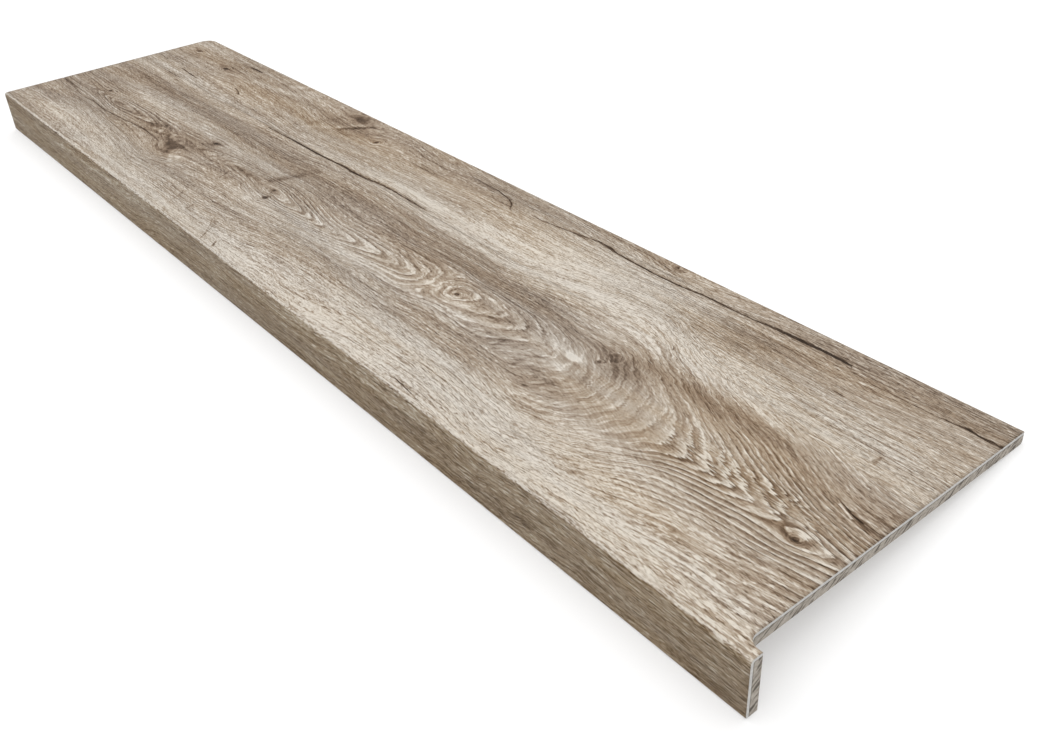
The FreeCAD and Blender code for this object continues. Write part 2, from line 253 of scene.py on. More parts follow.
# Soft lighter and darker patches: x, y, half length, half width, change of tone
PATCHES = (
    (650, 163, 900, 14, -0.12), (300, 174, 260, 11, -0.03), (60, 168, 110, 10, -0.04),
    (470, 185, 110, 12, -0.05), (190, 192, 190, 11, 0.06), (150, 211, 110, 9, 0.04),
    (860, 214, 250, 18, 0.17), (850, 191, 170, 10, 0.07), (700, 209, 230, 9, 0.06),
    (1050, 211, 100, 9, 0.04), (930, 240, 160, 12, 0.12), (620, 214, 120, 12, 0.06),
    (1230, 207, 110, 18, 0.06), (1060, 190, 120, 14, 0.05), (985, 172, 50, 11, 0.10),
    (1240, 172, 60, 11, 0.09), (1190, 188, 110, 12, 0.06), (915, 262, 110, 16, 0.12),
    (650, 240, 140, 10, 0.05), (715, 232, 50, 8, -0.04), (1240, 230, 60, 11, 0.05),
    (640, 151, 110, 8, -0.05), (325, 150, 60, 9, 0.04), (1050, 152, 70, 9, 0.03),
    (1085, 130, 70, 12, 0.05), (455, 110, 60, 12, -0.08), (60, 112, 60, 10, -0.04),
    (325, 90, 60, 12, -0.07), (450, 92, 50, 9, -0.05), (720, 90, 70, 9, 0.08), (180, 70, 160, 8, -0.03),
    (60, 48, 60, 10, -0.08), (325, 50, 70, 9, 0.06), (760, 50, 120, 9, 0.06), (760, 30, 240, 10, 0.05),
    (60, 32, 60, 8, -0.04), (120, 8, 150, 10, -0.07), (400, 8, 120, 10, -0.03),
    (850, 10, 620, 22, 0.18), (1010, 46, 190, 16, 0.14), (880, 52, 110, 14, 0.04),
    (1180, 20, 150, 26, 0.03), (190, 30, 150, 13, 0.10), (160, 50, 90, 8, 0.07),
    (330, 8, 200, 14, 0.08), (1020, 24, 220, 10, 0.03), (580, 84, 110, 13, 0.12),
    (800, 100, 110, 10, 0.06), (330, 132, 170, 8, 0.07), (180, 128, 60, 9, 0.08),
    (870, 118, 70, 9, 0.06), (560, 63, 330, 3, 0.05), (700, 112, 120, 6, 0.04),
    (470, 52, 200, 8, -0.04), (760, 62, 170, 7, -0.06), (1130, 72, 90, 9, 0.08),
    (1180, 62, 110, 12, 0.04), (20, 100, 110, 30, -0.07), (230, 96, 130, 16, -0.06),
    (346, 84, 22, 24, -0.14), (300, 110, 60, 14, -0.04), (438, 287, 22, 9, -0.12),
    (432, 280, 45, 16, -0.07), (430, 264, 70, 13, -0.05), (350, 280, 60, 12, -0.02),
    (470, 250, 60, 16, -0.03), (60, 287, 60, 10, 0.09), (300, 288, 60, 9, 0.06),
    (170, 271, 150, 11, -0.07), (60, 250, 80, 10, -0.05), (600, 292, 90, 8, -0.06),
    (715, 292, 60, 8, -0.05), (975, 292, 50, 7, 0.08), (1110, 293, 60, 8, -0.06),
    (1235, 293, 60, 8, -0.04), (620, 290, 60, 9, 0.05), (730, 270, 60, 8, -0.04),
    (800, 262, 120, 12, 0.05), (600, 258, 160, 10, -0.01), (1072, 252, 52, 18, -0.17),
    (1030, 280, 150, 14, -0.02), (1220, 284, 120, 15, -0.08), (1150, 262, 80, 10, -0.05),
    (1043, 144, 14, 11, -0.13), (1023, 158, 22, 8, -0.05), (999, 131, 6.5, 3.2, 0.55),
    (999, 125.5, 9, 1.6, -0.12), (1003, 113, 13, 6, 0.15), (985, 134, 24, 5, 0.10),
    (560, 134, 120, 12, -0.04), (700, 140, 90, 10, -0.03), (900, 150, 110, 9, -0.04),
    (1150, 168, 80, 9, -0.07), (940, 92, 80, 12, -0.06), (1010, 90, 40, 12, -0.05),
    (900, 78, 90, 8, -0.03), (1120, 118, 70, 10, 0.04), (520, 136, 10, 16, -0.05),
    (205, 184, 60, 10, -0.08), (245, 178, 16, 9, -0.05), (140, 255, 26, 6, -0.12),
    (37, 263, 14, 4, -0.08), (548, 96, 6, 7, -0.17), (539, 111, 5, 4, -0.10), (374, 124, 9, 6, -0.18),
    (1256, 103, 5.5, 2.4, 0.34), (900, 225, 160, 22, 0.04), (1190, 190, 170, 50, 0.03),
    (1240, 8, 90, 14, -0.03), (1080, 280, 130, 14, 0.04), (1030, 262, 50, 10, 0.05),
    (330, 92, 110, 12, -0.05), (349, 84, 7, 7, -0.05), (130, 180, 110, 14, 0.03),
    (580, 292, 130, 7, -0.03), (1265, 136, 60, 20, -0.09), (1240, 60, 90, 14, -0.03),
    (1232, 47, 18, 9, 0.07), (1105, 205, 42, 10, 0.06), (205, 180, 38, 10, -0.05),
    (200, 147, 140, 4, 0.05), (372, 74, 16, 7, 0.11), (18, 82, 20, 4, -0.08), (1252, 100, 20, 9, -0.05),
    (195, 180, 200, 14, 0.045), (460, 190, 80, 12, 0.04), (715, 232, 70, 10, -0.05),
    (845, 230, 60, 9, -0.04), (560, 36, 190, 16, 0.04), (455, 90, 60, 10, -0.035),
    (975, 88, 60, 12, 0.03), (845, 160, 80, 14, 0.055), (975, 160, 60, 14, 0.035),
    (520, 12, 150, 10, 0.01), (950, 292, 32, 8, -0.08), (1180, 106, 70, 9, 0.03),
    (1031, 153.5, 7, 6, -0.13), (1038, 145, 9, 7, -0.06), (858, 123, 5, 3, -0.20),
    (843, 122, 5, 3, -0.08), (438, 285, 24, 13, -0.07), (433, 281.5, 9, 6, -0.05),
    (195, 250, 60, 9, 0.05), (715, 190, 70, 8, 0.05), (585, 190, 55, 8, 0.03), (455, 130, 60, 8, -0.04),
    (585, 112, 55, 8, -0.03), (715, 90, 65, 8, 0.03), (325, 70, 60, 8, -0.05), (325, 50, 60, 8, 0.04),
    (585, 50, 60, 8, -0.03), (1110, 28, 190, 10, 0.035), (195, 10, 60, 8, -0.03),
    (60, 50, 60, 8, -0.02), (715, 230, 60, 8, -0.02), (860, 230, 60, 8, -0.03),
    (230, -24, 260, 16, 0.045), (347.5, 83, 5, 5, -0.06), (338, 91, 6, 5, 0.05),
)
# Straight strokes, soft at their sides: from x, y to x, y, half width, change of tone
STROKES = (
    (468, 283, 441, 251, 2.8, -0.24), (460, 287, 436, 254, 2.6, 0.12), (437, 253, 400, 226, 3.5, 0.08),
    (412, 268, 390, 221, 5.0, -0.07), (478, 288, 452, 268, 2.5, -0.10),
    (640, 281, 640, 261, 1.2, -0.08), (528, 151, 514, 121, 4.5, -0.10),
    (425, 292, 444, 281, 3.0, -0.05), (330, 85, 352, 72, 4.0, -0.10), (316, 92, 334, 84, 4.0, -0.08),
    (352, 72, 372, 62, 3.5, -0.07), (366, 119, 384, 129, 2.6, -0.12), (480, 113, 490, 112, 2.2, -0.12),
    (430, 112, 520, 110, 2.0, -0.06), (460, 92, 458, 99, 1.8, -0.09),
    (1238, 206, 1239, 194, 2.0, -0.08), (1030, 150, 1046, 132, 4.0, -0.06),
    (533, 172, 516, 122, 6.0, -0.07), (1024, 112, 1008, 84, 4.0, -0.07),
    (1247, 97.5, 1253, 96.5, 2.4, -0.20), (145, 257.5, 172, 257, 2.2, -0.12),
    (118, 258, 134, 256, 2.4, -0.08), (216, 258, 262, 264, 3.0, 0.06), (262, 264, 325, 279, 4.0, 0.10),
    (225, 252, 325, 263, 3.5, -0.06), (254, 280, 274, 298, 4.0, -0.09),
    (287, 284, 302, 298, 3.5, -0.09), (270, 281, 290, 298, 3.0, 0.06), (452, 243, 480, 256, 2.6, -0.06),
    (480, 256, 504, 260, 2.4, -0.06), (362, 80, 384, 72, 2.6, 0.08), (362, 73, 380, 64, 2.6, 0.07),
)
# Thin strokes, drawn sharp in the material: from x, y to x, y, half width, change of tone
THIN_STROKES = (
    (552.5, 34.5, 566.0, 33.0, 0.5, -0.17), (555.5, 32.0, 581.0, 10.5, 0.5, -0.16),
    (581.0, 10.5, 586.5, 3.0, 0.6, -0.16), (604.0, 12.0, 610.0, 4.5, 1.0, -0.24),
    (506.0, 37.5, 513.5, 22.0, 0.6, -0.13), (472.5, 37.5, 482.0, 18.0, 0.6, -0.12),
    (491.0, 8.0, 499.0, 4.5, 0.6, -0.14), (459.0, 97.0, 466.0, 84.0, 0.8, -0.12),
    (495.0, 95.0, 506.0, 89.0, 0.8, -0.14), (634.0, 282.0, 641.0, 263.0, 1.0, -0.08),
    (1249.0, 144.0, 1264.0, 137.5, 0.8, 0.30), (1238.0, 203.0, 1239.0, 195.5, 1.3, -0.15),
)
# Soft warmer and greyer patches: x, y, half length, half width, change of saturation
WARM_PATCHES = (
    (430, 252, 400, 34, 0.20), (1180, 110, 140, 60, 0.16), (1000, 215, 330, 36, 0.12),
    (640, 88, 140, 14, -0.10), (700, 20, 500, 26, 0.03), (1100, 250, 120, 30, 0.06),
    (1150, 30, 160, 30, 0.10), (1150, 160, 130, 30, 0.06), (960, 130, 60, 60, -0.10),
)
# How much warmer the lip's painted shade is than the top, in saturation
LIP_SHADE_WARMTH = 0.22

# Direction in which the light from above shines
KEY_DIRECTION = (0.05, -0.11, -1.0)
# Half the width of the studio floor, in metres
FLOOR_HALF = 30.0
# Width of the camera's sensor in millimetres
SENSOR_WIDTH = 36.0


def length_value(name, default, description):
    """A length of the tread in metres, shown in the scene's own unit."""
    return FloatProperty(name=name, description=description, default=default, unit="LENGTH")


def colour_value(name, default, description):
    """A colour, as its linear red, green and blue."""
    return FloatVectorProperty(name=name, description=description, default=default, subtype="COLOR")


class SheetSizes(bpy.types.PropertyGroup):
    """Real sizes of the wear sheet and of the cut that shapes the right end."""

    depth: length_value("Depth", 0.300, "From the face of the lip to the back edge")
    height: length_value("Lip height", 0.050, "From the lower edge of the lip to the top")
    thickness: length_value("Sheet thickness", 0.0025, "Thickness of the wear sheet")
    core: length_value("Core thickness", 0.008, "Thickness of the core under the sheet")
    bend: length_value("Bend radius", 0.0035, "Outer radius of the sheet round the nose")
    edge: length_value("Edge radius", 0.0008, "Radius of the sheet's lower edge on the lip")
    corner: length_value("Corner radius", 0.016, "Radius in plan of the back left corner")
    setback: length_value("End setback", 0.012, "How far the board ends short of the lip's right end")
    setback_radius: length_value("Setback radius", 0.008, "Radius of the inner corner behind the lip")
    bite: length_value("Cutter bite", 0.0003, "How far the end cut goes into the back of the lip")
    cell_along: length_value("Cell length", 0.0044, "Length of one cell of the surface along the grain")
    cell_across: length_value("Cell width", 0.0012, "Width of one cell of the surface across the grain")


class GrainSettings(bpy.types.PropertyGroup):
    """Colours and depths of the wood-look face."""

    crack_colour: colour_value(
        "Cracks", (0.034, 0.020, 0.011), "Colour in the open cracks and at the hearts of the knots")
    dark_colour: colour_value(
        "Dark grain", (0.105, 0.070, 0.046), "Darkest grain beside cracks and knots")
    brown_colour: colour_value("Brown grain", (0.215, 0.158, 0.113), "Brown late wood and pores")
    middle_colour: colour_value("Middle grain", (0.325, 0.258, 0.196), "Commonest colour of the face")
    light_colour: colour_value("Light grain", (0.451, 0.385, 0.314), "Light early wood")
    limed_colour: colour_value("Limed grain", (0.684, 0.632, 0.560), "Whitened pores and ridges")
    ring_spacing: length_value("Ring spacing", 0.0030, "Distance between two rings of the figure")
    crack_depth: length_value("Crack depth", 0.00045, "How deep the long cracks are pressed in")
    emboss_depth: length_value("Emboss depth", 0.00012, "Depth of the pressed grain")


class CoreSettings(bpy.types.PropertyGroup):
    """Colours of the sawn core and of the sheet's cut edge."""

    fibre_colour: colour_value("Fibre", (0.365, 0.322, 0.272), "Ground colour of the core")
    fleck_colour: colour_value(
        "Flecks", (0.085, 0.070, 0.056), "Dark flecks in the sawn faces of the core")
    pale_colour: colour_value("Pale fibre", (0.500, 0.455, 0.398), "Light fibres between the flecks")
    band_colour: colour_value("Sheet edge", (0.640, 0.625, 0.600), "Cut edge of the wear sheet")


class StudioSettings(bpy.types.PropertyGroup):
    """Camera, lights and floor."""

    camera_place: FloatVectorProperty(
        name="Camera place", description="Where the camera stands",
        subtype="TRANSLATION", unit="LENGTH", default=(0.91394, -0.42344, 0.58691))
    aim_place: FloatVectorProperty(
        name="Aim", description="Point on the tread that the camera looks at",
        subtype="TRANSLATION", unit="LENGTH", default=(0.34199, -0.06099, 0.03936))
    roll: FloatProperty(
        name="Roll", description="Turn of the camera about its line of sight",
        subtype="ANGLE", default=math.radians(-11.474))
    lens: FloatProperty(
        name="Lens", description="Focal length on a 36 mm wide sensor",
        default=38.235)
    floor_colour: colour_value("Floor", (0.62, 0.62, 0.62), "Colour of the studio floor")
    floor_glow: FloatProperty(
        name="Floor glow", description="Light that the floor gives off itself, as a light table does",
        default=0.36)
    sky_strength: FloatProperty(
        name="Sky strength", description="Even light from all round", default=0.35)
    key_strength: FloatProperty(
        name="Key strength", description="Strength of the wide soft light from above", default=2.75)
    key_width: FloatProperty(
        name="Key width", description="Angle that the soft light from above fills",
        subtype="ANGLE", default=math.radians(90.0))


class TreadSettings(bpy.types.PropertyGroup):
    """Every group of sizes and colours of the tread."""

    sheet: PointerProperty(type=SheetSizes)
    grain: PointerProperty(type=GrainSettings)
    core: PointerProperty(type=CoreSettings)
    studio: PointerProperty(type=StudioSettings)


def settings():
    """The scene's own values of every property group."""
    return bpy.context.scene.stair_tread


def smooth_step(value):
    """Nought below nought, one above one, and an even S between: three squares less two cubes."""
    held = np.clip(value, 0.0, 1.0)
    return held * held * (3.0 - 2.0 * held)


def bell(value, middle, reach):
    """One at the middle and falling to nought both ways: e to the minus square of distance over reach."""
    return np.exp(-((value - middle) / reach) ** 2)


def eased_line(x, points):
    """A line through points of x and height that leaves and reaches each point level, by smooth steps."""
    places = np.array([point[0] for point in points], float)
    heights = np.array([point[1] for point in points], float)
    span = np.clip(np.searchsorted(places, x) - 1, 0, len(places) - 2)
    part = (x - places[span]) / (places[span + 1] - places[span])
    return heights[span] + (heights[span + 1] - heights[span]) * smooth_step(part)


def soft_line(x, points, reach):
    """A line through points of x and height, its corners rounded by the mean of five places over a reach."""
    places, heights = np.array(points, float).T
    return sum(np.interp(x + reach * step, places, heights) for step in FIVE_PLACES) / 5.0


def grain_line(x, y):
    """Across coordinate that stays the same along one grain line.

    It is y, plus slow sine waves along x, less the share by which each knot pushes the lines aside:
    four fifths of the reach squared over the stretched distance squared plus the reach squared.
    """
    line = y.copy()
    for length, lean, height, start in GRAIN_WAVES:
        line += height * np.sin(2 * np.pi * (x / length + lean * y / 100.0 + start))
    for knot_x, knot_y, core, reach, stretch, darkness, lowest in KNOTS:
        across = y - knot_y
        distance = ((x - knot_x) / stretch) ** 2 + across ** 2
        line -= np.where(y > lowest, 0.8 * across * reach ** 2 / (distance + reach ** 2), 0.0)
    return line


def guided_rings(x, line):
    """Number of growth rings at each place, counted on from the heart of the log.

    Seven lines along the tread carry their own ring numbers. Between two neighbours the number goes
    over evenly with y. Near the heart line the distance from it is drawn in, to its square over the
    root of its square and the turn's square, so that the rings turn round there. Down the lip the
    number goes on by one for each ring's width.
    """
    heart = soft_line(x, HEART_LINE, HEART_ROUNDING)
    turn = soft_line(x, TIP_ROUND, LINE_ROUNDING)
    away = line - heart
    drawn = heart + away * np.abs(away) / np.sqrt(away ** 2 + turn ** 2)
    heights = []
    numbers = []
    for guide in (NOSE_LINE, OUTER_FRONT, INNER_FRONT, None, INNER_BACK, OUTER_BACK, BACK_LINE):
        if guide is None:
            heights.append(heart)
            numbers.append(soft_line(x, HEART_RINGS, NUMBER_ROUNDING))
        else:
            heights.append(soft_line(x, [(point[0], point[1]) for point in guide], LINE_ROUNDING))
            numbers.append(soft_line(x, [(point[0], point[2]) for point in guide], LINE_ROUNDING))
    rings = numbers[0] + np.maximum(-drawn, 0.0) / LIP_RING_WIDTH
    for index in range(len(heights) - 1):
        share = (drawn - heights[index]) / (heights[index + 1] - heights[index])
        rings = rings + (numbers[index + 1] - numbers[index]) * np.clip(share, 0.0, 1.0)
    return rings


def ring_number(x, line):
    """The guided rings with their corners evened out: the mean of five places across the grain."""
    reach = soft_line(x, RING_SOFTNESS, LINE_ROUNDING)
    return sum(guided_rings(x, line + reach * step) for step in FIVE_PLACES) / 5.0


def bells(x, y, patches):
    """Sum of soft patches, each a bell over x and y."""
    total = np.zeros_like(x)
    for patch_x, patch_y, half_length, half_width, change in patches:
        total += change * np.exp(-((x - patch_x) / half_length) ** 2 - ((y - patch_y) / half_width) ** 2)
    return total


def stroke_tone(x, y):
    """Sum of the straight strokes, each a bell over the distance from its own segment."""
    tone = np.zeros_like(x)
    for start_x, start_y, end_x, end_y, half_width, change in STROKES:
        run_x, run_y = end_x - start_x, end_y - start_y
        share = ((x - start_x) * run_x + (y - start_y) * run_y) / (run_x ** 2 + run_y ** 2)
        share = np.clip(share, 0.0, 1.0)
        distance = np.hypot(x - start_x - share * run_x, y - start_y - share * run_y)
        tone += change * bell(distance, 0.0, half_width)
    return tone


def crack_lane(x, y, lane):
    """Signed distance from one lane of cracks, and the lane's width there, both linear between points."""
    places, heights, widths = (np.array(column, float) for column in zip(*lane))
    return y - np.interp(x, places, heights), np.interp(x, places, widths)


def knot_place(x, y):
    """Place within the nearest knot in units of its radius, and how surely a point is near that knot.

    That share is the knot's darkness, and fades out from two and a half to four radii away.
    """
    nearest = np.full(x.shape, 1e9)
    place_x = np.zeros_like(x)
    place_y = np.zeros_like(x)
    darkness_here = np.zeros_like(x)
    for knot_x, knot_y, core, reach, stretch, darkness, lowest in KNOTS:
        offset_x = (x - knot_x) / (core * math.sqrt(stretch))
        offset_y = (y - knot_y) / core
        distance = np.hypot(offset_x, offset_y)
        closer = distance < nearest
        nearest = np.where(closer, distance, nearest)
        place_x = np.where(closer, offset_x, place_x)
        place_y = np.where(closer, offset_y, place_y)
        darkness_here = np.where(closer, darkness, darkness_here)
    return place_x, place_y, darkness_here * smooth_step((4.0 - nearest) / 1.5)


def resting_place():
    """Sine and cosine of the resting tilt, the middle of the board's underside when level, and at rest.

    The underside mount of the record gives the tilt, by its outward direction, and the place.
    """
    sizes = settings().sheet
    mount = next(m for m in frame["record"]["mounts"] if m["name"] == "underside")
    length = CAD_BOUNDS[1][0] - CAD_BOUNDS[0][0]
    middle = np.array([length / 2, sizes.depth / 2, sizes.height - sizes.thickness - sizes.core])
    return -mount["axis"][1], -mount["axis"][2], middle, np.array(mount["pos_m"])


def level_to_rest(points):
    """Level tread coordinates in metres to the frame's, where the tread lies tilted."""
    sine, cosine, middle, place = resting_place()
    level = np.asarray(points) - middle
    turned = np.stack([
        level[..., 0],
        level[..., 1] * cosine + level[..., 2] * sine,
        level[..., 2] * cosine - level[..., 1] * sine], axis=-1)
    return turned + place


def lip_lines():
    """Distances t at which the flat of the lip starts, under the bend, and ends, above its lower edge."""
    sizes = settings().sheet
    start = sizes.bend - sizes.bend * math.pi / 2
    return start, start - (sizes.height - sizes.bend - sizes.edge)


def section_place(t, inset):
    """Places (y, z) and outward directions of the sheet's section, set in by a distance.

    t is the distance from the nose along the top, and goes on below zero round the bend and down the
    lip: straight, then a quarter circle, then straight, then the small round at the lower edge.
    """
    sizes = settings().sheet
    bend, edge, height = sizes.bend, sizes.edge, sizes.height
    lip_start, lip_end = lip_lines()
    turn = np.clip((bend - t) / bend, 0.0, math.pi / 2)
    under = np.clip((lip_end - t) / edge, 0.0, math.pi / 2)
    normal_y = np.where(t < lip_end, -np.cos(under), -np.sin(turn))
    normal_z = np.where(t < lip_end, -np.sin(under), np.cos(turn))
    y = np.where(t > bend, t, bend * (1 - np.sin(turn)))
    z = np.where(t > lip_start, height - bend + bend * np.cos(turn), height - bend - (lip_start - t))
    y = np.where(t < lip_end, edge * (1 - np.cos(under)), y)
    z = np.where(t < lip_end, edge * (1 - np.sin(under)), z)
    inner_y = np.where(t > bend, t, np.where(t < lip_end, inset, y - normal_y * inset))
    inner_z = np.where(t < lip_end, z, z - normal_z * inset)
    return (inner_y, inner_z) if inset else (y, z), (normal_y, normal_z)


def sheet_rows():
    """Distances t of the surface's rows from the back edge to the lip's foot, and the row of the end cut.

    Both round cuts, the bend and the lower edge get rows at even turns, the rest even steps.
    """
    sizes = settings().sheet
    cut_line = sizes.thickness + sizes.core - sizes.bite
    lip_start, lip_end = lip_lines()

    def even(start, end, step):
        """Even lines from the start up to the end, as near to the step apart as fits."""
        count = max(2, round(abs(start - end) / step))
        return np.linspace(start, end, count + 1)[:-1]

    corner_turn = np.linspace(0.0, math.pi / 2, CORNER_ROWS + 1)[:-1]
    back = sizes.depth - sizes.corner * (1 - np.cos(corner_turn))
    middle = even(sizes.depth - sizes.corner, cut_line + sizes.setback_radius, sizes.cell_across)
    fillet_turn = np.linspace(math.pi / 2, 0.0, FILLET_ROWS + 1)[:-1]
    fillet = cut_line + sizes.setback_radius * (1 - np.cos(fillet_turn))
    nose = even(cut_line, sizes.bend, sizes.cell_across)
    bend = even(sizes.bend, lip_start, sizes.bend * math.pi / 2 / BEND_ROWS)
    lip = even(lip_start, lip_end, sizes.cell_across)
    foot = np.linspace(lip_end, lip_end - sizes.edge * math.pi / 2, FOOT_ROWS)
    above = np.concatenate([back, middle, fillet])
    return np.concatenate([above, nose, bend, lip, foot]), len(above)


def sheet_columns(t, cut_row):
    """Places x of every row and column, and which of them are on the sheet.

    The columns run evenly to the end of the round cut, then on to the lip's end. Rows at the round
    corner and at the end cut draw their nearest columns in by smooth steps.
    """
    sizes = settings().sheet
    length = CAD_BOUNDS[1][0] - CAD_BOUNDS[0][0]
    cut_line = t[cut_row]
    full = length - sizes.setback + sizes.setback_radius
    count = round(full / sizes.cell_along)
    even = np.linspace(0.0, full, count + 1)
    tail = np.linspace(full, length, TAIL_COLUMNS + 1)[1:]
    columns = np.concatenate([even, tail])
    x = np.repeat(columns[None, :], len(t), axis=0)

    into_corner = np.clip(t - (sizes.depth - sizes.corner), 0.0, sizes.corner)
    left_end = sizes.corner - np.sqrt(sizes.corner ** 2 - into_corner ** 2)
    into_fillet = np.clip(cut_line + sizes.setback_radius - t, 0.0, sizes.setback_radius)
    drawn_in = np.sqrt(sizes.setback_radius ** 2 - into_fillet ** 2)
    reach = DRAWN_CORNERS * sizes.corner
    left_share = smooth_step(1 - columns / reach)
    right_share = smooth_step(1 - (full - columns) / reach)
    above = (np.arange(len(t)) < cut_row)[:, None]
    x = x + left_end[:, None] * left_share[None, :]
    x = x - np.where(above, drawn_in[:, None] * right_share[None, :], 0.0)
    on_sheet = ~(above & (np.arange(len(columns)) > count)[None, :])
    return x, on_sheet, count


def relief(x, y, line):
    """Depth pressed into the face: long soft grain ridges, the cracks and the hearts of the knots.

    The ridges are cosines across the grain that sway along it, the cracks and the knots are bells.
    Everything is pressed in, so that the face never stands out of the sheet's own thickness.
    """
    grain = settings().grain
    ridges = np.zeros_like(x)
    for width, sway, share, start in RIDGES:
        phase = line / width * 2 * np.pi + 1.5 * np.sin(2 * np.pi * x / sway + start) + start
        ridges += share * (0.5 - 0.5 * np.cos(phase))
    depth = grain.emboss_depth * ridges
    for lane in CRACKS:
        distance, width = crack_lane(x, y, lane)
        depth += grain.crack_depth * smooth_step(width) * bell(distance, 0.0, 0.6 + 0.5 * width)
    for knot_x, knot_y, core, reach, stretch, darkness, lowest in KNOTS:
        distance = np.hypot((x - knot_x) / math.sqrt(stretch), y - knot_y) / core
        depth += KNOT_DEPTH * grain.crack_depth * darkness * bell(distance, 0.0, 1.0)
    return depth


def sheet_rim(rows, columns, count, cut_row):
    """Rows and columns of the points round the face's rim, in order.

    It runs along the back edge to the left end, down to the lip's foot, along it to the right end,
    up to the end cut, in along the cut, and up the board's right end.
    """
    last = columns - 1
    rim = [(0, column) for column in range(count, 0, -1)]
    rim += [(row, 0) for row in range(rows - 1)]
    rim += [(rows - 1, column) for column in range(last)]
    rim += [(row, last) for row in range(rows - 1, cut_row, -1)]
    rim += [(cut_row, column) for column in range(last, count, -1)]
    rim += [(row, count) for row in range(cut_row, 0, -1)]
    return np.array(rim).T


def back_faces(t, back, rim_row, rim_column):
    """Faces that close the sheet's back: one under the board, one behind the lip, and strips of the bend."""
    bend = settings().sheet.bend
    lip_start, _ = lip_lines()
    top = back[t[rim_row] >= bend - CLOSE]
    top = np.roll(top, -int(np.argmax(np.diff(top) > 1)) - 1)
    lip = back[t[rim_row] <= lip_start + CLOSE]
    left, right = (
        {row: point for point, row, column in zip(back.tolist(), rim_row, rim_column) if column == end}
        for end in (0, rim_column.max()))
    bend_rows = np.flatnonzero((t <= bend + CLOSE) & (t >= lip_start - CLOSE))
    strips = [[left[a], right[a], right[b], left[b]] for a, b in zip(bend_rows[:-1], bend_rows[1:])]
    return [top[::-1].tolist(), lip[::-1].tolist()] + strips


def add_point_values(mesh, name, *columns):
    """Store three values at each point of the face, which come first in the mesh; the back gets nought."""
    values = np.zeros((len(mesh.vertices), 3), np.float32)
    values[:len(columns[0])] = np.stack(columns, axis=-1)
    mesh.attributes.new(name, "FLOAT_VECTOR", "POINT").data.foreach_set("vector", values.ravel())


def add_figure(mesh, x, y, line):
    """Store on the face what the wood-look material draws the figure from.

    The rings' strength is a plain share, more of it in a bell round the heart line, and little of it
    down the lip. Their slope along the tread, in a bell beside the heart line, makes the jagged tips.
    Their steepness, the root of both slopes' squares, says how far the lines may wander.
    """
    spacing = settings().grain.ring_spacing / MM
    along, across = 1.0, 0.6
    rings = spacing * ring_number(x, line)
    slope = spacing * (ring_number(x + along, line) - ring_number(x - along, line)) / (2 * along)
    slope_across = spacing * (ring_number(x, line + across) - ring_number(x, line - across)) / (2 * across)
    from_heart = line - soft_line(x, HEART_LINE, HEART_ROUNDING)
    near_heart = bell(from_heart, 0.0, soft_line(x, FIGURE_REACH, HEART_ROUNDING))
    strength = PLAIN_RINGS + eased_line(x, FIGURE_STRENGTH) * near_heart
    strength = np.where(y < 0, LIP_RINGS, strength) * (1.0 - bells(x, y, FAINT_RINGS))
    jagged = eased_line(x, TIP_JAG) * bell(from_heart, 9.0, 16.0)
    swirl = bell(x, SWIRL_MIDDLE, SWIRL_REACH)
    side = np.tanh(from_heart / (12.0 + 50.0 * swirl))
    steep = np.minimum(np.hypot(slope, slope_across), STEEPEST) * (1.0 + 1.3 * swirl)

    # The photo's right end is nearest and crispest, and so are the two light bands along the tread
    calm = 1.0 - bells(x, y, CALM_PATCHES)
    crispness = 0.86 + 0.14 * smooth_step((x - 450) / 450)
    crispness *= 1.0 + 0.4 * bell(y, 22, 38) + 0.2 * bell(y, 210, 22)
    lumps = calm * (1.0 - 0.65 * bell(y, 24, 36) * smooth_step((x - 500) / 400))
    patches = bells(x, y, PATCHES) + stroke_tone(x, y)
    above = (y - soft_line(x, LEVEL_LINE, HEART_ROUNDING)) / LEVEL_EDGE
    # Warm patches, and the warmer tint of the lip's painted shade
    warmth = bells(x, y, WARM_PATCHES) + LIP_SHADE_WARMTH * (y < 0)

    add_point_values(mesh, "grain", x, line, y)
    add_point_values(mesh, "rings", rings, slope * jagged, strength)
    add_point_values(mesh, "heart", side, steep, crispness * calm)
    add_point_values(mesh, "patches", patches, bells(x, y, FINE_RINGS), above)
    add_point_values(mesh, "mood", warmth, lumps, bells(x, y, RIMMED_KNOTS))
    add_point_values(mesh, "knot", *knot_place(x, y))
    for index, (lane, shades) in enumerate(zip(CRACKS, CRACK_SHADES)):
        distance, width = crack_lane(x, y, lane)
        places, shares = np.array(shades, float).T
        add_point_values(mesh, f"crack_{index}", distance, width, np.interp(x, places, shares))


def new_piece(name, points, faces, face_slots, smooth):
    """Make a mesh object of the tread from level points and faces, and let it ride on the tread."""
    mesh = bpy.data.meshes.new(name)
    mesh.from_pydata(level_to_rest(points).tolist(), [], faces)
    mesh.polygons.foreach_set("material_index", face_slots)
    mesh.polygons.foreach_set("use_smooth", smooth)
    mesh.update()
    piece = bpy.data.objects.new(name, mesh)
    bpy.context.scene.collection.objects.link(piece)
    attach(piece, "root")
    return piece


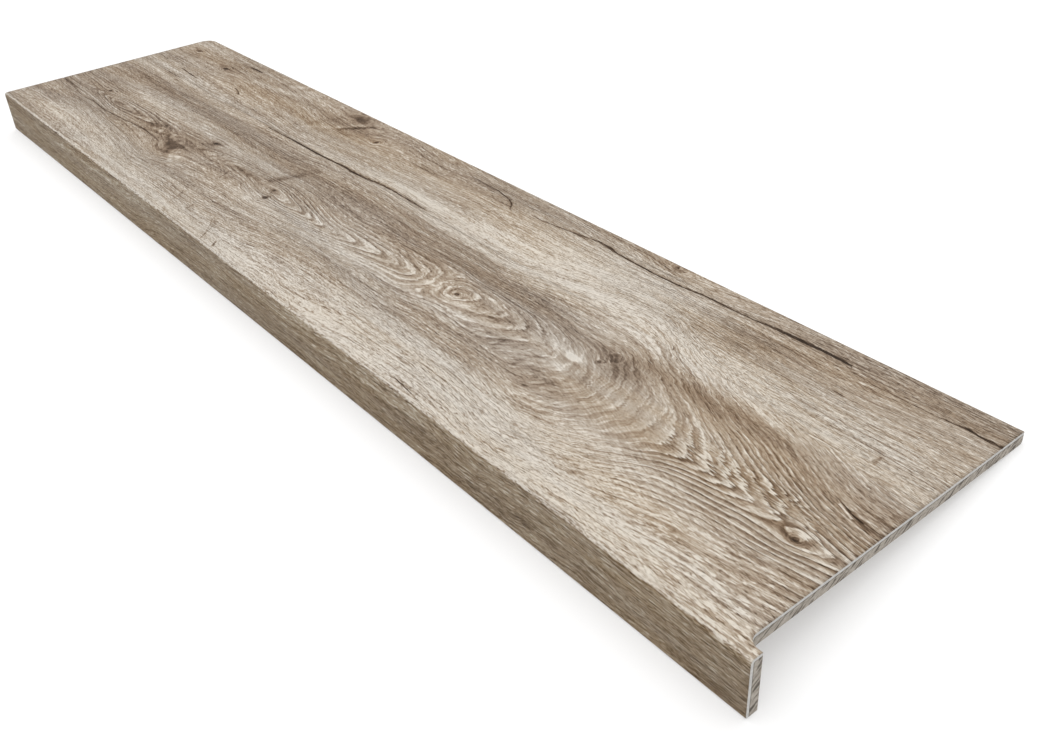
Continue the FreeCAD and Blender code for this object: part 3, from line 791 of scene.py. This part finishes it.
def make_wear_sheet():
    """Closed surface of the wear sheet: its embossed face on a grid, its cut edges and its back.

    The face is the section at each row carried along x. Each point of its rim has a partner one
    thickness in, quads join the two rims, and flat faces and strips of the bend close the back.
    """
    t, cut_row = sheet_rows()
    x, on_sheet, count = sheet_columns(t, cut_row)
    rows, columns = x.shape
    (y, z), (normal_y, normal_z) = section_place(t, 0.0)

    figure_x = x / MM
    figure_y = np.repeat((t / MM)[:, None], columns, axis=1)
    line = grain_line(figure_x, figure_y)
    depth = relief(figure_x, figure_y, line)
    face_y = y[:, None] - normal_y[:, None] * depth
    face_z = z[:, None] - normal_z[:, None] * depth
    face_points = np.stack([x, face_y, face_z], axis=-1)[on_sheet]
    number = np.cumsum(on_sheet.ravel()).reshape(on_sheet.shape) - 1
    whole = on_sheet[:-1, :-1] & on_sheet[:-1, 1:] & on_sheet[1:, :-1] & on_sheet[1:, 1:]
    quads = np.stack([number[:-1, :-1], number[1:, :-1], number[1:, 1:], number[:-1, 1:]], axis=-1)[whole]

    rim_row, rim_column = sheet_rim(rows, columns, count, cut_row)
    (inner_y, inner_z), _ = section_place(t, settings().sheet.thickness)
    back_points = np.stack([x[rim_row, rim_column], inner_y[rim_row], inner_z[rim_row]], axis=-1)
    back = len(face_points) + np.arange(len(rim_row))
    outer = number[rim_row, rim_column]
    edges = np.stack([outer, back, np.roll(back, -1), np.roll(outer, -1)], axis=-1)
    others = edges.tolist() + back_faces(t, back, rim_row, rim_column)

    slots = [0] * len(quads) + [1] * len(others)
    smooth = [True] * len(quads) + [False] * len(others)
    points = np.concatenate([face_points, back_points])
    piece = new_piece("wood_look_sheet", points, quads.tolist() + others, slots, smooth)
    add_figure(piece.data, figure_x[on_sheet], figure_y[on_sheet], line[on_sheet])
    return piece


class Recipe:
    """Short words for building one material's nodes. Each gives back the socket that holds its result."""

    def __init__(self, name):
        """Start a material of that name with its shader."""
        self.material = bpy.data.materials.new(name)
        self.material.use_nodes = True
        self.tree = self.material.node_tree
        self.tree.nodes.clear()
        self.shader = self.tree.nodes.new("ShaderNodeBsdfPrincipled")
        output = self.tree.nodes.new("ShaderNodeOutputMaterial")
        self.feed(output.inputs["Surface"], self.shader.outputs["BSDF"])

    def feed(self, socket, value):
        """Link a socket, or set it to a plain value."""
        if isinstance(value, bpy.types.NodeSocket):
            self.tree.links.new(value, socket)
        else:
            socket.default_value = value

    def node(self, kind, inputs, output=0, **values):
        """A new node of that kind with its inputs fed, by name or number, and its properties set."""
        made = self.tree.nodes.new(kind)
        for key, value in values.items():
            setattr(made, key, value)
        for key, value in inputs.items():
            self.feed(made.inputs[key], value)
        return made.outputs[output]

    def surface(self, **inputs):
        """Feed the shader's inputs; an underscore stands for a space in a name."""
        for name, value in inputs.items():
            self.feed(self.shader.inputs[name.replace("_", " ")], value)

    def math(self, operation, *values):
        """One step of arithmetic on numbers."""
        return self.node("ShaderNodeMath", dict(enumerate(values)), operation=operation)

    def times(self, *values):
        """The product of numbers."""
        return functools.reduce(functools.partial(self.math, "MULTIPLY"), values)

    def times_plus(self, first, second, added):
        """The product of two numbers, and a third added to it."""
        return self.math("MULTIPLY_ADD", first, second, added)

    def over(self, first, second):
        """One number divided by another."""
        return self.math("DIVIDE", first, second)

    def away(self, first, second):
        """How far one number is from another, without its sign."""
        return self.math("ABSOLUTE", self.math("SUBTRACT", first, second))

    def total(self, *values):
        """The sum of numbers."""
        return functools.reduce(functools.partial(self.math, "ADD"), values)

    def weighted(self, *pairs):
        """The sum of numbers, each times its own weight."""
        return self.total(*(self.times(value, weight) for value, weight in pairs))

    def step(self, value, low, high, to_low=0.0, to_high=1.0):
        """A smooth step of a number from one range to another."""
        names = ("Value", "From Min", "From Max", "To Min", "To Max")
        inputs = dict(zip(names, (value, low, high, to_low, to_high)))
        return self.node("ShaderNodeMapRange", inputs, "Result", interpolation_type="SMOOTHSTEP")

    def parts(self, vector):
        """The three parts of a vector."""
        made = self.tree.nodes.new("ShaderNodeSeparateXYZ")
        self.feed(made.inputs[0], vector)
        return made.outputs

    def attribute(self, name):
        """The three parts of a value stored on the mesh."""
        kinds = {"attribute_type": "GEOMETRY", "attribute_name": name}
        return self.parts(self.node("ShaderNodeAttribute", {}, "Vector", **kinds))

    def vector(self, *values):
        """A vector of numbers."""
        return self.node("ShaderNodeCombineXYZ", dict(enumerate(values)))

    def cells(self, places, sizes, detail=2.0):
        """Even noise round one half, with cells of three sizes along three coordinates."""
        place = self.vector(*(self.over(part, size) for part, size in zip(places, sizes)))
        inputs = {"Vector": place, "Scale": 1.0, "Detail": detail}
        return self.node("ShaderNodeTexNoise", inputs, noise_dimensions="3D")

    def streaks(self, x, line, length, width, seed, detail=2.0):
        """Noise drawn out along the grain: one cell is a length by a width in millimetres."""
        return self.cells((x, line, seed), (length, width, 1.0), detail)

    def sway(self, *values):
        """The same noise, round nought."""
        return self.math("SUBTRACT", self.streaks(*values), 0.5)

    def blend(self, share, first, second):
        """A number between two numbers."""
        return self.node("ShaderNodeMix", {0: share, 2: first, 3: second}, data_type="FLOAT")

    def mix(self, share, first, second):
        """A colour between two colours, each a socket or plain."""
        first, second = (colour if isinstance(colour, bpy.types.NodeSocket) else (*colour, 1.0)
                         for colour in (first, second))
        return self.node("ShaderNodeMix", {0: share, 6: first, 7: second}, 2, data_type="RGBA")

    def ramp(self, value, stops):
        """A colour for a number, through stops of place and colour."""
        made = self.tree.nodes.new("ShaderNodeValToRGB")
        self.feed(made.inputs[0], value)
        elements = made.color_ramp.elements
        while len(elements) < len(stops):
            elements.new(0.5)
        for element, (place, colour) in zip(elements, stops):
            element.position = place
            element.color = (*colour, 1.0)
        return made.outputs["Color"]

    def bump(self, height, distance):
        """Small relief from a height."""
        inputs = {"Height": height, "Distance": distance}
        self.surface(Normal=self.node("ShaderNodeBump", inputs, "Normal"))


class FaceValues:
    """The values that the sheet's mesh carries, for one material to read."""

    def __init__(self, recipe):
        """Read every value in the order in which it is stored."""
        self.x, self.line, self.y = recipe.attribute("grain")
        self.rings, self.slope, self.strength = recipe.attribute("rings")
        self.side, self.steep, self.crispness = recipe.attribute("heart")
        self.patches, self.fine_share, self.above = recipe.attribute("patches")
        self.warmth, self.lumps, self.rimmed = recipe.attribute("mood")
        self.knot_x, self.knot_y, self.knot_near = recipe.attribute("knot")


def grain_flow(recipe, face):
    """The coordinate across the grain that its marks follow.

    It is the rings, plus two soft noises times their steepness, plus fibre noise times their slope.
    Past the level line, an interlocking edge swaps it for the plain grain line.
    """
    wander = recipe.sway(face.x, face.line, 70.0, 16.0, 3.1)
    tremble = recipe.sway(face.x, face.line, 17.0, 5.0, 3.7, 1.0)
    shift = recipe.times(recipe.weighted((wander, 4.0), (tremble, 1.6)), face.steep)
    fibres = recipe.step(recipe.streaks(face.x, face.line, 60.0, 2.0, 7.7, 1.0), 0.38, 0.62, -0.5, 0.5)
    jags = recipe.times(fibres, 15.0, face.slope)
    interlock = recipe.sway(face.x, face.line, 90.0, 2.5, 91.0, 1.0)
    level = recipe.step(recipe.times_plus(interlock, 6.0, face.above), -0.02, 0.02)
    return recipe.blend(level, recipe.total(face.rings, jags, shift), face.line)


def ring_marks(recipe, face, flow):
    """The rings, light before each edge and dark after it, and the fine dark rings between them."""
    spacing = settings().grain.ring_spacing / MM
    phase = recipe.math("FRACT", recipe.over(flow, spacing))
    dark = recipe.times(recipe.step(phase, 0.0, 0.05), recipe.step(phase, 0.55, 0.05))
    light = recipe.times(recipe.step(phase, 0.45, 0.85), recipe.step(phase, 1.0, 0.95))
    broken = recipe.step(recipe.streaks(face.x, flow, 50.0, 3.0, 8.8), 0.30, 0.62, 0.40, 1.20)
    rings = recipe.times(recipe.weighted((light, 0.85), (dark, -1.0)), face.strength, broken)
    fine_phase = recipe.math("FRACT", recipe.over(flow, spacing / 3))
    fine_dark = recipe.times(recipe.step(fine_phase, 0.0, 0.2), recipe.step(fine_phase, 0.65, 0.25))
    return rings, recipe.times(fine_dark, face.fine_share, broken)


def grain_marks(recipe, face, flow):
    """The loose marks of the grain by name, each a noise drawn out along the flow or the grain line."""
    side = recipe.times(face.side, 1.5)
    leaning = recipe.times_plus(face.x, 0.11, face.line)
    feather_line = recipe.times_plus(face.x, 0.30, face.line)

    def along_flow(length, width, seed, detail=2.0):
        """Streaks along the flow, with noise of their own on each side of the heart line."""
        return recipe.streaks(face.x, flow, length, width, recipe.math("ADD", side, seed), detail)

    def thin_lines(length, width, seed, outer, inner):
        """Lines where such streaks cross their middle value."""
        return recipe.step(recipe.away(along_flow(length, width, seed, 1.0), 0.5), outer, inner)

    fine_far = along_flow(56.0, 1.15, 14.0, 2.5)
    fine_near = recipe.streaks(face.x, face.line, 50.0, 1.15, 15.0, 2.5)
    fine = recipe.blend(recipe.step(face.steep, 0.1, 0.6), fine_near, fine_far)
    middle = recipe.math("SUBTRACT", along_flow(130.0, 4.5, 2.0), 0.5)
    feather = recipe.step(recipe.streaks(face.x, feather_line, 20.0, 1.7, 51.0), 0.42, 0.62, -0.5, 0.5)
    feathered = recipe.step(recipe.streaks(face.x, face.line, 120.0, 26.0, 53.0, 1.0), 0.42, 0.60)
    return {
        "broad": recipe.times(recipe.sway(face.x, face.line, 420.0, 16.0, 1.0), face.lumps),
        "middle": recipe.times(middle, face.lumps),
        "fine": recipe.math("SUBTRACT", fine, 0.5),
        "feather": recipe.times(feather, feathered),
        "lines": thin_lines(75.0, 2.6, 71.0, 0.045, 0.010),
        "hairs": thin_lines(32.0, 0.95, 83.0, 0.060, 0.015),
        "dashes": recipe.step(along_flow(7.5, 0.85, 25.0, 1.0), 0.54, 0.66),
        "nicks": recipe.step(recipe.streaks(face.x, leaning, 5.2, 0.82, 45.0, 1.0), 0.56, 0.67),
        "ticks": recipe.step(along_flow(8.5, 0.95, 39.0, 1.0), 0.54, 0.67),
        "pores": recipe.step(recipe.streaks(face.x, leaning, 3.4, 0.52, 6.0, 0.0), 0.55, 0.68),
    }


def knot_marks(recipe, face):
    """Dark hearts, dark rims and fine rings of the knots, by a roughened distance from each middle."""
    place = recipe.vector(face.knot_x, face.knot_y)
    length = recipe.node("ShaderNodeVectorMath", {0: place}, "Value", operation="LENGTH")
    radius = recipe.times_plus(recipe.sway(face.x, face.y, 20 / 7, 2.0, 8.0), 0.8, length)
    heart = recipe.times(recipe.step(radius, 1.15, 0.45), face.knot_near)
    heart = recipe.times(heart, recipe.times_plus(face.rimmed, -0.65, 1.0))
    rim = recipe.times(recipe.step(recipe.away(radius, 0.95), 0.40, 0.10), face.knot_near, face.rimmed)
    wave = recipe.math("SINE", recipe.times(radius, 9.0))
    return heart, rim, recipe.times(wave, recipe.step(radius, 3.2, 1.0), face.knot_near)


def crack_marks(recipe, face):
    """The open cracks and the shade beside them, by the distance from each lane's roughened line."""
    rough = recipe.sway(face.x, face.y, 5.0, 2.5, 0.5)
    opened = 0.0
    shaded = 0.0
    for index in range(len(CRACKS)):
        distance, width, darkness = recipe.attribute(f"crack_{index}")
        away = recipe.math("ABSOLUTE", recipe.times_plus(rough, 2.0, distance))
        half = recipe.times(width, 0.5)
        here = recipe.times(recipe.step(width, 0.05, 0.7), darkness)
        open_here = recipe.step(away, recipe.math("ADD", half, 0.45), half)
        shade_here = recipe.step(away, recipe.times_plus(half, 2.0, 3.0), half)
        opened = recipe.math("MAXIMUM", opened, recipe.times(open_here, here))
        shaded = recipe.math("MAXIMUM", shaded, recipe.times(shade_here, here))
    return opened, shaded


def painted_nose_shade_and_highlight(recipe, face):
    """Painted shade on the lip, and a speckled painted highlight on the nose, fainter to the right."""
    # Painted shade: the lip is darkened from just under the nose, and a little less so lower down
    painted_shade_under_nose = recipe.step(face.y, 1.8, 0.2, 0.0, -0.18)
    painted_shade_eased_lower = recipe.step(face.y, -2.0, -14.0, 0.0, 0.065)
    speckle = recipe.step(recipe.streaks(face.x, face.y, 2.6, 1.6, 61.0, 1.0), 0.35, 0.62)
    fainter = recipe.step(face.x, 1000.0, 300.0, 0.35, 1.0)
    # Painted highlight along the nose's edge, where it catches the light
    edge_highlight = recipe.times(recipe.step(face.y, -0.6, 0.4), recipe.step(face.y, 3.2, 1.5), fainter, speckle)
    return recipe.total(painted_shade_under_nose, painted_shade_eased_lower), edge_highlight


def thin_strokes(recipe, face):
    """Sum of the thin strokes: each is full within its half width of its segment and soft beyond.

    A small noise shakes the places, so that no stroke is quite straight.
    """
    tremor = recipe.sway(face.x, face.y, 7.0, 7.0, 97.0, 1.0)
    x = recipe.times_plus(tremor, 9.0, face.x)
    y = recipe.times_plus(tremor, -5.0, face.y)
    tone = 0.0
    for start_x, start_y, end_x, end_y, half_width, change in THIN_STROKES:
        length = math.hypot(end_x - start_x, end_y - start_y)
        run_x, run_y = (end_x - start_x) / length, (end_y - start_y) / length
        away_x = recipe.math("SUBTRACT", x, (start_x + end_x) / 2)
        away_y = recipe.math("SUBTRACT", y, (start_y + end_y) / 2)
        along = recipe.times_plus(away_x, run_x, recipe.times(away_y, run_y))
        across = recipe.times_plus(away_x, -run_y, recipe.times(away_y, run_x))
        beyond = recipe.math("SUBTRACT", recipe.math("ABSOLUTE", along), length / 2)
        distance = recipe.math("MAXIMUM", recipe.math("ABSOLUTE", across), beyond)
        tone = recipe.times_plus(recipe.step(distance, half_width + 0.5, 0.5 * half_width), change, tone)
    return tone


def wood_look_material():
    """Embossed weathered oak: a ramp of colours over one tone, the weighted sum of the marks and painted
    light.
    """
    grain = settings().grain
    recipe = Recipe("weathered_oak_sheet")
    face = FaceValues(recipe)
    flow = grain_flow(recipe, face)
    rings, fine_rings = ring_marks(recipe, face, flow)
    marks = grain_marks(recipe, face, flow)
    knot_heart, knot_rim, knot_rings = knot_marks(recipe, face)
    crack_open, crack_shade = crack_marks(recipe, face)
    painted_lip_shade, painted_edge_highlight = painted_nose_shade_and_highlight(recipe, face)

    loose = recipe.weighted(
        (marks["fine"], 0.42), (marks["lines"], -0.095), (marks["hairs"], -0.055), (marks["dashes"], -0.12),
        (marks["nicks"], -0.11), (marks["ticks"], 0.16), (marks["pores"], -0.09))
    # The nose edge's painted highlight is summed in here with the marks
    drawn = recipe.weighted(
        (face.patches, 1.10), (loose, face.crispness), (marks["broad"], 0.14), (marks["middle"], 0.40),
        (marks["feather"], 0.09), (rings, 0.12), (fine_rings, -0.05), (painted_edge_highlight, 0.52),
        (knot_rings, 0.07), (knot_rim, -0.30), (knot_heart, -0.30),
        (crack_shade, -0.12), (crack_open, -0.40))
    # The lip's painted shade darkens the tone down the lip
    tone = recipe.total(BASE_TONE, drawn, painted_lip_shade, thin_strokes(recipe, face))
    colour = recipe.ramp(tone, (
        (0.10, grain.crack_colour), (0.32, grain.dark_colour), (0.46, grain.brown_colour),
        (0.58, grain.middle_colour), (0.72, grain.light_colour), (0.88, grain.limed_colour)))

    saturation = recipe.step(recipe.streaks(face.x, face.line, 180.0, 22.0, 12.0), 0.3, 0.7, 0.94, 1.14)
    roughness = recipe.times_plus(marks["fine"], -0.18, 0.56)
    recipe.surface(
        Base_Color=recipe.node("ShaderNodeHueSaturation", {
            # The hue step turns the lip yellower, part of its painted shade
            "Hue": recipe.step(face.y, 1.0, -2.0, 0.5, 0.507),
            "Saturation": recipe.total(saturation, face.warmth),
            "Color": colour}),
        Roughness=recipe.times_plus(marks["pores"], 0.12, roughness),
        Specular_IOR_Level=0.18)
    height = recipe.weighted(
        (marks["fine"], 0.9), (marks["middle"], 0.5), (marks["dashes"], -0.4), (marks["ticks"], 0.4),
        (marks["nicks"], -0.5), (marks["pores"], -0.35), (rings, 0.5),
        (crack_open, -1.5), (knot_heart, -0.8))
    recipe.bump(height, 3.5 * grain.emboss_depth)
    return recipe.material


def object_parts(recipe):
    """The three object coordinates in millimetres."""
    place = recipe.node("ShaderNodeTexCoord", {}, "Object")
    return [recipe.times(part, 1 / MM) for part in recipe.parts(place)]


def cut_sheet_material():
    """Cut edge of the wear sheet: pale filled sheet with faint saw marks."""
    core = settings().core
    recipe = Recipe("cut_sheet_edge")
    parts = object_parts(recipe)
    grains = recipe.cells(parts, (1.0, 1.0, 1.0), 3.0)
    saw_marks = recipe.cells(parts, (3.0, 3.0, 10 / 9))
    shade = recipe.weighted((grains, 0.5), (saw_marks, 0.5))
    darker = [0.72 * part for part in core.band_colour]
    colour = recipe.mix(recipe.step(shade, 0.35, 0.62), darker, core.band_colour)
    recipe.surface(Base_Color=colour, Roughness=0.6)
    recipe.bump(shade, 0.00012)
    return recipe.material


def fibre_core_material():
    """Sawn fibre core: pressed fibres lying flat, dark slanted flecks, and a darker line at the glue.

    The object coordinates are turned back by the tilt of rest, so that the fibres lie level in the board.
    """
    core = settings().core
    sheet = settings().sheet
    recipe = Recipe("sawn_fibre_core")
    x, rest_y, rest_z = object_parts(recipe)
    sine, cosine, middle, place = resting_place()
    start_y = (middle[1] - place[1] * cosine + place[2] * sine) / MM
    start_z = (middle[2] - place[1] * sine - place[2] * cosine) / MM
    y = recipe.times_plus(rest_y, cosine, recipe.times_plus(rest_z, -sine, start_y))
    z = recipe.times_plus(rest_y, sine, recipe.times_plus(rest_z, cosine, start_z))
    lean = recipe.times_plus(z, -1.2, y)
    fibres = recipe.cells((x, y, z), (3.0, 3.2, 0.8), 3.0)
    flecks = recipe.cells((x, lean, z), (4.0, 2.1, 6.0), 1.5)
    dust = recipe.cells((x, y, z), (0.625, 0.625, 0.625))

    sheet_line = sheet.thickness / MM
    board_line = (sheet.height - sheet.thickness) / MM
    behind_lip = recipe.step(y, sheet_line + 0.9, sheet_line + 0.3)
    under_top = recipe.step(z, board_line - 0.8, board_line - 0.3)
    glue = recipe.times(recipe.math("MAXIMUM", behind_lip, under_top),
                        recipe.step(dust, 0.30, 0.52, 0.25, 0.85))
    colour = recipe.mix(recipe.step(fibres, 0.35, 0.68), core.fibre_colour, core.pale_colour)
    colour = recipe.mix(recipe.step(flecks, 0.51, 0.60, 0.0, 0.90), colour, core.fleck_colour)
    colour = recipe.mix(recipe.step(dust, 0.55, 0.72, 0.0, 0.35), colour, core.pale_colour)
    colour = recipe.mix(glue, colour, core.fleck_colour)
    recipe.surface(Base_Color=colour, Roughness=0.85, Specular_IOR_Level=0.2)
    recipe.bump(recipe.total(fibres, recipe.weighted((flecks, -0.8), (dust, 0.5))), 0.00035)
    return recipe.material


def make_floor(studio):
    """A wide plain floor at the tread's lowest level."""
    signs = ((-1, -1), (1, -1), (1, 1), (-1, 1))
    corners = [(side * FLOOR_HALF, end * FLOOR_HALF, 0) for side, end in signs]
    mesh = bpy.data.meshes.new("studio_floor")
    mesh.from_pydata(corners, [], [(0, 1, 2, 3)])
    floor = bpy.data.objects.new("studio_floor", mesh)
    bpy.context.scene.collection.objects.link(floor)
    recipe = Recipe("studio_floor")
    recipe.surface(
        Base_Color=(*studio.floor_colour, 1.0), Roughness=1.0, Specular_IOR_Level=0.0,
        Emission_Color=(1.0, 1.0, 1.0, 1.0), Emission_Strength=studio.floor_glow)
    mesh.materials.append(recipe.material)


def make_lights(studio):
    """An even sky and one wide soft light from above and a little behind, so that the lip is shaded."""
    world = bpy.data.worlds.new("studio_sky")
    world.use_nodes = True
    background = world.node_tree.nodes["Background"]
    background.inputs["Color"].default_value = (1.0, 1.0, 1.0, 1.0)
    background.inputs["Strength"].default_value = studio.sky_strength
    bpy.context.scene.world = world

    data = bpy.data.lights.new("key_light", "SUN")
    data.energy = studio.key_strength
    data.angle = studio.key_width
    light = bpy.data.objects.new("key_light", data)
    light.rotation_euler = Vector(KEY_DIRECTION).to_track_quat("-Z", "Y").to_euler()
    bpy.context.scene.collection.objects.link(light)


def make_camera(studio):
    """The camera at the photograph's place, turned about its line of sight as the photograph is."""
    data = bpy.data.cameras.new("photo_camera")
    data.sensor_width = SENSOR_WIDTH
    data.lens = studio.lens
    data.clip_start = 0.01
    data.clip_end = 100.0
    camera = bpy.data.objects.new("photo_camera", data)
    place = Vector(studio.camera_place)
    sight = (Vector(studio.aim_place) - place).to_track_quat("-Z", "Y").to_matrix().to_4x4()
    camera.matrix_world = Matrix.Translation(place) @ sight @ Matrix.Rotation(studio.roll, 4, "Z")
    bpy.context.scene.collection.objects.link(camera)
    bpy.context.scene.camera = camera
    bpy.context.scene.view_settings.view_transform = "Standard"


class TREAD_OT_wear_sheet(bpy.types.Operator):
    """Make the embossed wear sheet in place of its plain solid"""

    bl_idname = "tread.wear_sheet"
    bl_label = "Wear Sheet"

    def execute(self, context):
        sheet = make_wear_sheet()
        sheet.data.materials.append(wood_look_material())
        sheet.data.materials.append(cut_sheet_material())
        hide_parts("wear_sheet")
        return {"FINISHED"}


class TREAD_OT_core(bpy.types.Operator):
    """Give the core board and the nose strip the finish of sawn fibre"""

    bl_idname = "tread.core"
    bl_label = "Fibre Core"

    def execute(self, context):
        finish = fibre_core_material()
        for name in ("tread_board", "nose_strip"):
            core = frame["nodes"][name]
            if not core.material_slots:
                raise RuntimeError(f"{name} has no material slot")
            for slot in core.material_slots:
                slot.material = finish
        return {"FINISHED"}


class TREAD_OT_studio(bpy.types.Operator):
    """Set up the pale floor, the soft lights and the camera"""

    bl_idname = "tread.studio"
    bl_label = "Studio"

    def execute(self, context):
        studio = settings().studio
        make_floor(studio)
        make_lights(studio)
        make_camera(studio)
        return {"FINISHED"}


class TREAD_PT_panel(bpy.types.Panel):
    """Buttons of the stair tread, in the order in which they run"""

    bl_idname = "TREAD_PT_panel"
    bl_label = "Stair Tread"
    bl_space_type = "VIEW_3D"
    bl_region_type = "UI"
    bl_category = "Stair Tread"

    def draw(self, context):
        for operator in OPERATORS:
            self.layout.operator(operator.bl_idname)


GROUPS = (SheetSizes, GrainSettings, CoreSettings, StudioSettings, TreadSettings)
OPERATORS = (TREAD_OT_wear_sheet, TREAD_OT_core, TREAD_OT_studio)


def register():
    """Register every class and hang the settings on the scene."""
    for item in (*GROUPS, *OPERATORS, TREAD_PT_panel):
        bpy.utils.register_class(item)
    bpy.types.Scene.stair_tread = PointerProperty(type=TreadSettings)


def unregister():
    """Take the settings and every class away again."""
    del bpy.types.Scene.stair_tread
    for item in reversed((*GROUPS, *OPERATORS, TREAD_PT_panel)):
        bpy.utils.unregister_class(item)


def main():
    """Run every operator in order."""
    register()
    bpy.ops.tread.wear_sheet()
    bpy.ops.tread.core()
    bpy.ops.tread.studio()


if __name__ == "__main__":
    main()
